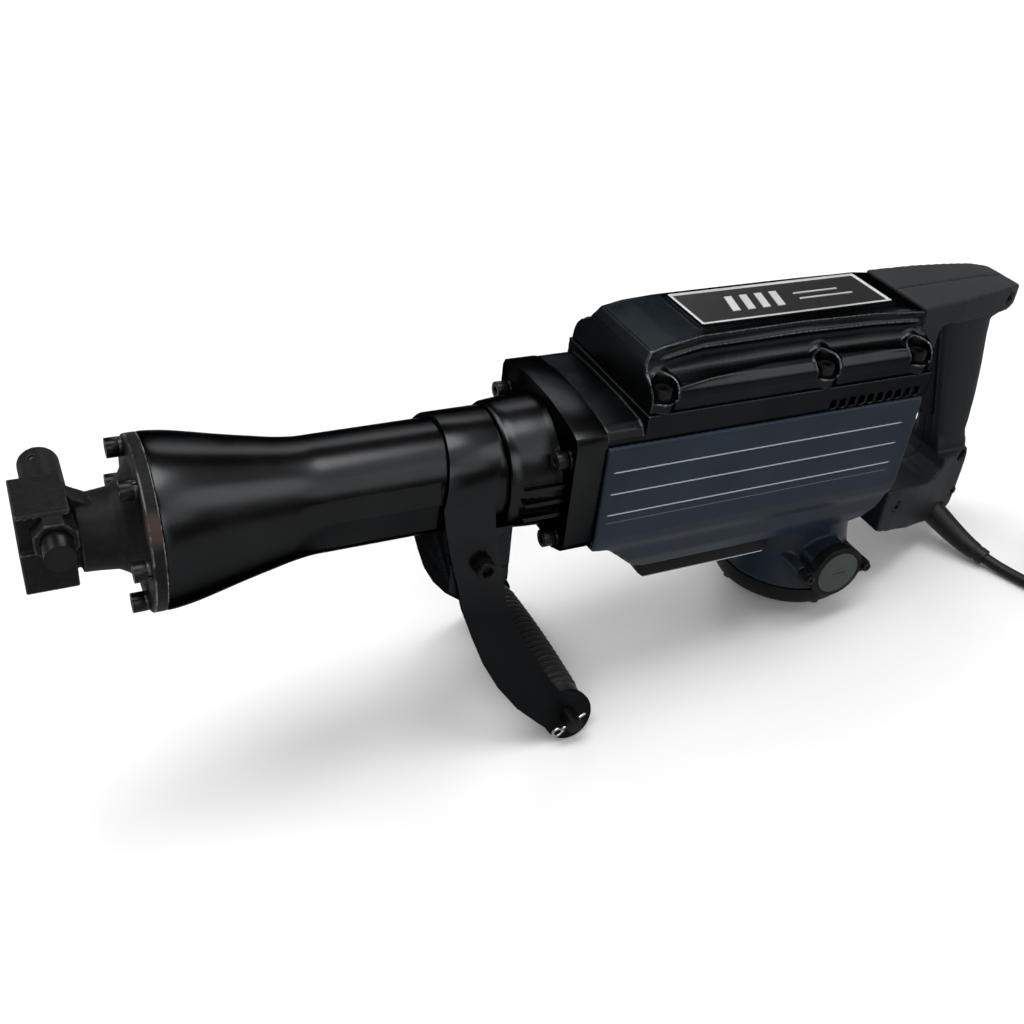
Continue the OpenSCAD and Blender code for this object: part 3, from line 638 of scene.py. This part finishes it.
def make_barrel():
    flats = [(165.5, 39.2, 171.0), (194.5, 38.0, 168.5)]
    allf = []
    for a, d, x0 in flats:
        allf.append((a, d, x0))
        allf.append((180 - a, d, x0))
    marks = set()
    for a, d, _ in allf:
        w = math.degrees(math.acos(d / 40.0))
        marks.update([(a - w) % 360, (a + w) % 360])
    # where the two flats of a side meet
    ridge = math.degrees(math.atan2(39.2 * math.cos(math.radians(194.5)) - 38.0 * math.cos(math.radians(165.5)),
                                    38.0 * math.sin(math.radians(165.5)) - 39.2 * math.sin(math.radians(194.5))))
    ridge %= 360
    if not 170 < ridge < 190:
        ridge = (ridge + 180) % 360
    marks.update([ridge, (180 - ridge) % 360])
    th = sorted(set([round(v, 4) for v in marks] + [float(v) for v in np.arange(0, 360, 1.5)]))
    out = [th[0]]
    for v in th[1:]:
        if v - out[-1] < 0.35:
            if any(abs(v - m) < 1e-3 for m in marks):
                out[-1] = v
        else:
            out.append(v)
    th = out
    xs = [79.0, 79.15, 79.5, 80.2] + list(np.arange(81.5, 158, 3.0)) + list(np.arange(159, 200, 1.0)) + list(np.arange(202, 262, 8.0)) + [261.0, 261.8, 262.0, 262.2, 263, 275, 290, 300, 310.2]
    bm = bmesh.new()
    rows = []
    for x in xs:
        base = barrel_radius(x)
        if x == 79.0:
            base -= 0.5
        if x == 79.15:
            base -= 0.18
        row = []
        for v in th:
            r = base
            if x <= 262.01:
                for a, d, x0 in allf:
                    if x < x0 - 8.01:
                        continue
                    dd = d
                    # rounded run-out at the front end of the flat
                    c = math.cos(math.radians(v - a))
                    if c > 0.3:
                        wv = abs(math.degrees(math.atan2(math.sin(math.radians(v - a)), c)))
                        full = math.degrees(math.acos(d / 40.0))
                        run = x0 - 8.0 + 9.0 * (1 - math.sqrt(max(0.0, 1 - min(1.0, wv / full) ** 2)))
                        if x < run:
                            continue
                        r = min(r, base + (min(base, dd / c) - base) * float(sstep(x - run, 0.0, 24.0)))
            row.append(bm.verts.new(T(x, r * math.cos(math.radians(v)), r * math.sin(math.radians(v)))))
        rows.append(row)
    n = len(th)
    for a, b in zip(rows, rows[1:]):
        for k in range(n):
            q = (k + 1) % n
            bm.faces.new((a[k], b[k], b[q], a[q]))
    # closing rings at both ends
    for row, x, ri, flip in ((rows[0], 79.0, 34.0, False), (rows[-1], 310.2, 34.0, True)):
        ins = [bm.verts.new(T(x, ri * math.cos(math.radians(v)), ri * math.sin(math.radians(v)))) for v in th]
        for k in range(n):
            q = (k + 1) % n
            f = (row[k], row[q], ins[q], ins[k])
            bm.faces.new(f if not flip else tuple(reversed(f)))
    bm.normal_update()
    bmesh.ops.recalc_face_normals(bm, faces=bm.faces[:])
    ob = from_bm("v_cylinder_case", bm, M['barrel_paint'])
    by_angle(ob, 7.5)
    return ob


barrel = make_barrel()
rear = cad_copy("cylinder_case", "v_case_rear")
cut_front(rear, 309.8)
b_ = rear.modifiers.new("bevel", 'BEVEL')
b_.width = 0.9 * MM
b_.segments = 3
b_.limit_method = 'ANGLE'
b_.angle_limit = math.radians(32)
b_.use_clamp_overlap = True
apply_mods(rear)
by_angle(rear, 35)
merge(barrel, rear)
stand_for(barrel, "cylinder_case", M['barrel_paint'])


# ---- crank cover: CAD shape remeshed fine, then its ridges and pocket rims raised
def make_cover():
    ob = voxel("crank_cover", None, 0.9, 3, 0.5)
    p, no = tool_mesh(ob)
    x, y, z = p[:, 0], np.abs(p[:, 1]), p[:, 2]
    ny = no[:, 1] * np.sign(p[:, 1])
    prof = np.array([(60, 58.5), (68, 58.5), (74, 56.5), (79, 52), (83, 42.5), (90, 38.5), (98, 36), (101.5, 33), (103.4, 27)])
    yo = np.interp(z, prof[:, 0], prof[:, 1])
    outer = (y > yo - 1.6) & (ny * 0.8 + no[:, 2] * 0.6 > 0.3) & (x > 408)
    near = np.full(len(x), 99.0)
    for bx in (413, 549, 634):
        near = np.minimum(near, np.hypot(x - bx, y - 53))
    r1 = np.interp(x, [401, 409, 450, 534, 600, 647], [93, 96.5, 100.8, 101.6, 100.4, 97.5])
    r2 = np.interp(x, [401, 409, 450, 534, 600, 647], [84, 88.5, 94.5, 95.3, 94.2, 91.5])
    r3 = np.interp(x, [401, 420, 450, 500, 560, 600, 647], [71, 75.5, 78.6, 80.6, 80.6, 80.0, 77.5])

    def hollow(lo, hi, depth, power=0.9):
        t = (z - (lo + hi) / 2) / ((hi - lo) / 2)
        return -depth * np.clip(1 - t * t, 0, 1) ** power

    d = np.where((z < r1) & (z > r2), hollow(r2, r1, 1.3), 0) + np.where((z < r2) & (z > r3), hollow(r3, r2, 2.6, 0.8), 0)
    for r, s in ((r1, 0.55), (r2, 0.6), (r3, 0.4)):
        d = d + s * np.exp(-((z - r) / 0.9) ** 2)
    fade = sstep(near, 10.0, 14.5) * sstep(x, 412, 424) * (1 - sstep(x, 636, 645))
    d = d * fade
    # rims of the screw pockets
    rim = 0.85 * np.exp(-((near - 10.6) / 1.1) ** 2) * (z > 70)
    d = d + rim
    d = np.where(outer, d, 0)
    p = p + no * d[:, None]
    put_back(ob, p)
    relax(ob, 2)
    return stand_for(ob, "crank_cover", M['cover_paint'])


make_cover()


# ---- rough cast head
head = voxel("front_cover", None, 0.8, 4, 0.5)
stand_for(head, "front_cover", M['rough_casting'])
knob = voxel("retainer_knob", None, 0.5, 3, 0.5)
stand_for(knob, "retainer_knob", M['rough_casting'])

# ---- crank case and motor housing
case = voxel("crankcase", None, 0.9, 3, 0.5)
stand_for(case, "crankcase", M['case_paint'])
housing = voxel("motor_housing", None, 1.1, 10, 0.5)
stand_for(housing, "motor_housing", M['housing_navy'])


# ---- handle halves: rounded as moulded, grip pulled onto an oval section
def make_handle(node):
    ob = voxel(node, None, 1.1, 4, 0.5)
    p, no = tool_mesh(ob)
    x, y, z = p[:, 0], p[:, 1], p[:, 2]
    zin = [-66, -61, -52, -38, -8, 22, 52, 74, 81.5]
    xin = [708, 726, 730, 727, 718, 709, 700, 693, 688]
    zout = [-68, -60, -50, -25, 0, 30, 56, 72, 79]
    xout = [771, 766, 763, 763, 760.5, 755.5, 750, 747.5, 748.5]
    xi = np.interp(z, zin, xin)
    xo = np.interp(z, zout, xout)
    xc, a = (xi + xo) / 2, (xo - xi) / 2
    dx, dy = (x - xc) / a, np.abs(y) / 19.0
    m = np.maximum(np.abs(dx), dy)
    q = 2.7
    nn = (np.abs(dx) ** q + dy ** q) ** (1 / q)
    f = np.where(nn > 1e-6, m / np.maximum(nn, 1e-6), 1)
    w = sstep(z, -50, -34) * (1 - sstep(z, 70, 82)) * (x > 690) * (m < 1.3) * (m > 0.55)
    # leave the trigger's slot open
    w = w * np.where((np.abs(y) < 9.5) & (dx < 0), 0, 1)
    f = 1 + (f - 1) * w
    p[:, 0] = xc + (x - xc) * np.where((x > 690), f, 1)
    p[:, 1] = y * f
    put_back(ob, p)
    relax(ob, 5)
    return stand_for(ob, node, M['handle_plastic'])


make_handle("handle_left")
make_handle("handle_right")

# ---- crisp machined and bought-in parts
for n_, m_, w_ in (("front_bolts", 'black_steel', 0.45), ("cover_bolts", 'black_steel', 0.45), ("flange_bolts", 'black_steel', 0.45),
                   ("clamp_bolt", 'black_steel', 0.45), ("retainer_pin", 'black_steel', 0.6), ("grip_rod", 'black_steel', 0.7),
                   ("tail_screws", 'black_steel', 0.3), ("handle_screws", 'black_steel', 0.3), ("brush_clamp_screws", 'black_steel', 0.3),
                   ("front_spring_washers", 'washer_steel', 0.2), ("side_strap", 'arm_paint', 0.7), ("clamp_block", 'case_paint', 1.0),
                   ("bottom_plate", 'black_plastic', 0.8), ("tail_cover", 'black_plastic', 0.9), ("brush_caps", 'cap_plastic', 0.6),
                   ("brush_clamps", 'black_plastic', 0.7), ("trigger", 'black_plastic', 1.2), ("mains_plug", 'cord_rubber', 0.8)):
    refine(n_, M[m_], w_, 3 if w_ > 0.5 else 2)


# ---- nameplate: raised bright border round a dark field, with a plain device and no lettering
def plate_solid(bm, loops, mats):
    """rings of (x, y, z) outlines skinned one to the next"""
    rows = [[bm.verts.new(T(*q)) for q in lp] for lp in loops]
    n = len(rows[0])
    for i, (a, b) in enumerate(zip(rows, rows[1:])):
        for k in range(n):
            f = bm.faces.new((a[k], a[(k + 1) % n], b[(k + 1) % n], b[k]))
            f.material_index = mats[i]
    return rows


def rect(x0, x1, y0, y1, z, r=1.2, k=4):
    out = []
    for cx, cy, a0 in ((x1 - r, y1 - r, 0), (x0 + r, y1 - r, 90), (x0 + r, y0 + r, 180), (x1 - r, y0 + r, 270)):
        for i in range(k + 1):
            a = math.radians(a0 + 90 * i / k)
            out.append((cx + r * math.cos(a), cy + r * math.sin(a), z))
    return out


def make_plate():
    bm = bmesh.new()
    X0, X1, Y0, Y1 = 455, 622, -24.6, 24.6
    loops = [rect(X0, X1, Y0, Y1, 103.38), rect(X0, X1, Y0, Y1, 104.6), rect(X0 + .25, X1 - .25, Y0 + .25, Y1 - .25, 104.92),
             rect(X0 + .6, X1 - .6, Y0 + .6, Y1 - .6, 105), rect(X0 + 2.3, X1 - 2.3, Y0 + 2.3, Y1 - 2.3, 105), rect(X0 + 2.6, X1 - 2.6, Y0 + 2.6, Y1 - 2.6, 104.85),
             rect(X0 + 2.9, X1 - 2.9, Y0 + 2.9, Y1 - 2.9, 104.42), rect(X0 + 4.2, X1 - 4.2, Y0 + 4.2, Y1 - 4.2, 104.4)]
    rows = plate_solid(bm, loops, [1, 1, 0, 0, 0, 0, 1])
    f = bm.faces.new(rows[-1])
    f.material_index = 1
    f = bm.faces.new(list(reversed(rows[0])))
    f.material_index = 1
    # a plain raised device: three slanted bars and a long rule
    def bar(pts, h=104.95):
        lo = [bm.verts.new(T(a, b, 104.3)) for a, b in pts]
        hi = [bm.verts.new(T(a + (sum(c[0] for c in pts) / len(pts) - a) * 0.02, b, h)) for a, b in pts]
        n = len(pts)
        for k in range(n):
            g = bm.faces.new((lo[k], lo[(k + 1) % n], hi[(k + 1) % n], hi[k]))
            g.material_index = 0
        g = bm.faces.new(hi)
        g.material_index = 0
    bmesh.ops.recalc_face_normals(bm, faces=bm.faces[:])
    return bm, bar


def finish_plate():
    bm, bar = make_plate()
    for i in range(4):
        x0 = 489 + i * 13
        bar([(x0, -11), (x0 + 6.5, -11), (x0 + 12.5, 11), (x0 + 6.0, 11)])
    bar([(552, -5.2), (600, -5.2), (600, -3.4), (552, -3.4)])
    bar([(552, 3.4), (592, 3.4), (592, 5.2), (552, 5.2)])
    bmesh.ops.recalc_face_normals(bm, faces=bm.faces[:])
    ob = from_bm("v_nameplate", bm, None, False)
    by_angle(ob, 25)
    stand_for(ob, "nameplate", M['plate'], extra=(M['plate_field'],))


finish_plate()


# ---- ribbed grip: a turned rubber sleeve with rounded ribs
def make_grip():
    rz = -62 - 132.7 * math.cos(math.radians(15.3)) + 2.5 * math.sin(math.radians(15.3))
    ro = 20.0
    pts = [(-68.45, 7.2), (-68.45, 15.6), (-67.6, 17.0), (-66.0, 17.4), (-59.5, 17.4)]
    for i in range(20):
        c = ro - 1.4 + 1.4 * math.cos(math.radians(i * 9 - 85.5))
        y0 = -57 + i * 6
        for t, h in ((-0.6, 0.0), (0.0, 0.35), (0.7, 0.85), (1.8, 1.0), (2.9, 0.85), (3.6, 0.35), (4.2, 0.0)):
            pts.append((y0 + t, 16.9 + (c - 16.9) * h))
    pts += [(60.5, 17.4), (66.0, 17.4), (67.6, 17.0), (68.45, 15.6), (68.45, 7.2)]
    pts = [q for i, q in enumerate(pts) if i == 0 or q[0] >= pts[i - 1][0] - 1e-6]
    bm = bmesh.new()
    n = 72
    rows = []
    for y, r in pts:
        rows.append([bm.verts.new(T(363 + r * math.cos(2 * math.pi * k / n), y, rz + r * math.sin(2 * math.pi * k / n))) for k in range(n)])
    for a, b in zip(rows, rows[1:]):
        for k in range(n):
            bm.faces.new((a[k], a[(k + 1) % n], b[(k + 1) % n], b[k]))
    bmesh.ops.recalc_face_normals(bm, faces=bm.faces[:])
    ob = from_bm("v_side_grip", bm, None)
    by_angle(ob, 40)
    stand_for(ob, "side_grip", M['grip_rubber'])


make_grip()


# ---- hairpin clips through the ends of the grip rod
def make_clips():
    rz = -62 - 132.7 * math.cos(math.radians(15.3)) + 2.5 * math.sin(math.radians(15.3))
    c60, s60 = math.cos(math.radians(60)), math.sin(math.radians(60))
    verts_bm = bmesh.new()
    for sy in (-1, 1):
        # wire path in the pin's own (u along the hole, v across) plane
        path = []
        path += [(12.0, 0.0), (8.0, 0.0), (0.0, 0.0), (-8.0, 0.0), (-10.2, 0.0)]
        for a in range(0, 300, 25):
            path.append((-14 + 3.6 * math.cos(math.radians(a)), 3.6 * math.sin(math.radians(a))))
        path += [(-11.0, -2.6), (-8.5, -2.2)]
        pts = []
        for u, v in path:
            # hole direction: +Z of the frame turned 60 degrees about Y
            X = 363 + u * s60 - v * c60
            Z = rz + u * c60 + v * s60
            pts.append(T(X, sy * 86, Z))
        # tube along the path
        n = 10
        r = 1.1 * MM
        rows = []
        side = ROT @ Vector((0, 1, 0))
        for i, q in enumerate(pts):
            t = (pts[min(i + 1, len(pts) - 1)] - pts[max(i - 1, 0)]).normalized()
            b2 = t.cross(side).normalized()
            rows.append([verts_bm.verts.new(q + r * (math.cos(2 * math.pi * k / n) * side + math.sin(2 * math.pi * k / n) * b2)) for k in range(n)])
        for a, b in zip(rows, rows[1:]):
            for k in range(n):
                verts_bm.faces.new((a[k], a[(k + 1) % n], b[(k + 1) % n], b[k]))
        verts_bm.faces.new(list(reversed(rows[0])))
        verts_bm.faces.new(rows[-1])
    bmesh.ops.recalc_face_normals(verts_bm, faces=verts_bm.faces[:])
    ob = from_bm("v_cotter_pins", verts_bm, None)
    stand_for(ob, "cotter_pins", M['bright_clip'])


make_clips()


# ---- cord guard: smooth taper with a collar at its end
def make_guard():
    gp = [Vector(q) for q in ((711, -4, 35), (716, -26, 25), (720, -44, 17.5), (724, -61, 12), (729, -77, 8.2))]
    gr = [11, 11, 9.8, 8.4, 7]
    pts, rad = [], []
    for i in range(4):
        p0, p1, p2, p3 = gp[max(i - 1, 0)], gp[i], gp[i + 1], gp[min(i + 2, 4)]
        for j in range(8):
            t = j / 8
            pts.append(0.5 * ((2 * p1) + (p2 - p0) * t + (2 * p0 - 5 * p1 + 4 * p2 - p3) * t * t + (3 * p1 - p0 - 3 * p2 + p3) * t ** 3))
            rad.append(gr[i] + (gr[i + 1] - gr[i]) * t)
    pts.append(gp[-1])
    rad.append(gr[-1])
    # a slim collar at the mouth, then rounded in
    rad = [r * 0.985 for r in rad]
    for i in range(len(rad)):
        if i >= len(rad) - 4:
            rad[i] = max(rad[i], 7.15)
    rad[-5] = min(rad[-5], 6.85)
    bm = bmesh.new()
    n = 40
    rows = []
    for i, q in enumerate(pts):
        t = (pts[min(i + 1, len(pts) - 1)] - pts[max(i - 1, 0)]).normalized()
        s = t.cross(Vector((0, 0, 1))).normalized()
        u = s.cross(t)
        rows.append([bm.verts.new(W(*(q + rad[i] * (math.cos(2 * math.pi * k / n) * s + math.sin(2 * math.pi * k / n) * u)))) for k in range(n)])
        last = (q, s, u, t)
    q, s, u, t = last
    for rr, off in ((6.8, 0.15), (5.2, 0.15)):
        rows.append([bm.verts.new(W(*(q + t * off + rr * (math.cos(2 * math.pi * k / n) * s + math.sin(2 * math.pi * k / n) * u)))) for k in range(n)])
    for a, b in zip(rows, rows[1:]):
        for k in range(n):
            bm.faces.new((a[k], a[(k + 1) % n], b[(k + 1) % n], b[k]))
    bmesh.ops.recalc_face_normals(bm, faces=bm.faces[:])
    ob = from_bm("v_cord_guard", bm, None)
    by_angle(ob, 35)
    stand_for(ob, "cord_guard", M['cord_rubber'])


make_guard()


# ---------------------------------------------------------------- floor, light
def stage():
    bm = bmesh.new()
    s = 6.0
    v = [bm.verts.new((x, y, 0)) for x, y in ((-s, -s), (s, -s), (s, s), (-s, s))]
    bm.faces.new(v)
    m, nt, b = mat_nodes("floor")
    tc = nt.nodes.new("ShaderNodeTexCoord")
    n = noise_node(nt, tc.outputs["Object"], 3, 3)
    nt.links.new(ramp(nt, n, [(0.3, (0.93, 0.93, 0.93)), (0.7, (0.95, 0.95, 0.95))]), b.inputs["Base Color"])
    b.inputs["Roughness"].default_value = 0.9
    setin(b, "Specular IOR Level", 0.1)
    fl = from_bm("floor", bm, m, False)
    # the floor lights the tool softly but isn't mirrored in its lacquer, as over a dark bench
    fl.visible_glossy = False
    w = bpy.data.worlds.new("world")
    bpy.context.scene.world = w
    w.use_nodes = True
    # a dark studio: only a dim glow from below the horizon, the rest comes from the soft lights
    nt = w.node_tree
    bg = nt.nodes["Background"]
    way = nt.nodes.new("ShaderNodeTexCoord")
    sep = nt.nodes.new("ShaderNodeSeparateXYZ")
    nt.links.new(way.outputs["Generated"], sep.inputs[0])
    nt.links.new(rng(nt, sep.outputs[2], 1.0, 0.0, -0.05, 0.03), bg.inputs[0])
    bg.inputs[1].default_value = 0.38

    def soft(name, az, el, size, power):
        """a round soft light far away; az is turned from the viewer's side, both in degrees"""
        li = bpy.data.lights.new(name, 'SUN')
        li.energy = power
        li.angle = math.radians(size)
        ob = link(bpy.data.objects.new(name, li))
        a, e = math.radians(az), math.radians(el)
        d = Vector((math.sin(a) * math.cos(e), -math.cos(a) * math.cos(e), math.sin(e)))
        ob.rotation_euler = (-d).to_track_quat('-Z', 'Y').to_euler()
        return ob
    for i, (az, el, size, power) in enumerate(SOFT):
        soft("soft.%02d" % i, az, el, size, power)


def backdrop():
    """a pale studio wall all round, far behind the tool; only a background, it lights and shades nothing"""
    bm = bmesh.new()
    prof = [(5.9, -0.02), (5.9, 0.6)] + [(5.9 * math.cos(t), 0.6 + 4.4 * math.sin(t)) for t in np.linspace(0.15, 1.5, 12)]
    rows = [[bm.verts.new((r * math.cos(k * math.pi / 24), r * math.sin(k * math.pi / 24), z)) for k in range(48)] for r, z in prof]
    for a, b in zip(rows, rows[1:]):
        for k in range(48):
            q = (k + 1) % 48
            bm.faces.new((a[k], a[q], b[q], b[k]))
    bm.faces.new(rows[-1])
    m, nt, b = mat_nodes("backdrop")
    tc = nt.nodes.new("ShaderNodeTexCoord")
    n = noise_node(nt, tc.outputs["Object"], 0.6, 2)
    nt.links.new(ramp(nt, n, [(0.3, (0.97, 0.97, 0.97)), (0.7, (1.0, 1.0, 1.0))]), b.inputs["Emission Color"])
    b.inputs["Emission Strength"].default_value = 1.0
    m.cycles.emission_sampling = 'NONE'
    ob = from_bm("backdrop", bm, m, True)
    for flag in ("visible_diffuse", "visible_glossy", "visible_transmission", "visible_volume_scatter", "visible_shadow"):
        setattr(ob, flag, False)


SOFT = [(0, 12, 24, 0.10), (60, 12, 24, 0.15), (120, 12, 24, 0.10), (240, 12, 24, 0.15), (330, 12, 24, 0.06),
        (0, 34, 26, 0.38), (30, 34, 26, 0.18), (60, 34, 26, 0.32), (150, 30, 26, 0.44), (210, 34, 26, 0.12),
        (240, 34, 26, 0.15), (330, 34, 26, 0.37), (45, 56, 28, 0.17), (90, 56, 28, 0.08), (225, 56, 28, 0.67),
        (0, 76, 28, 0.07), (90, 76, 28, 0.95), (270, 76, 28, 0.98)]
stage()
backdrop()

sc = bpy.context.scene
sc.view_settings.view_transform = 'Standard'
sc.view_settings.exposure = 0.0
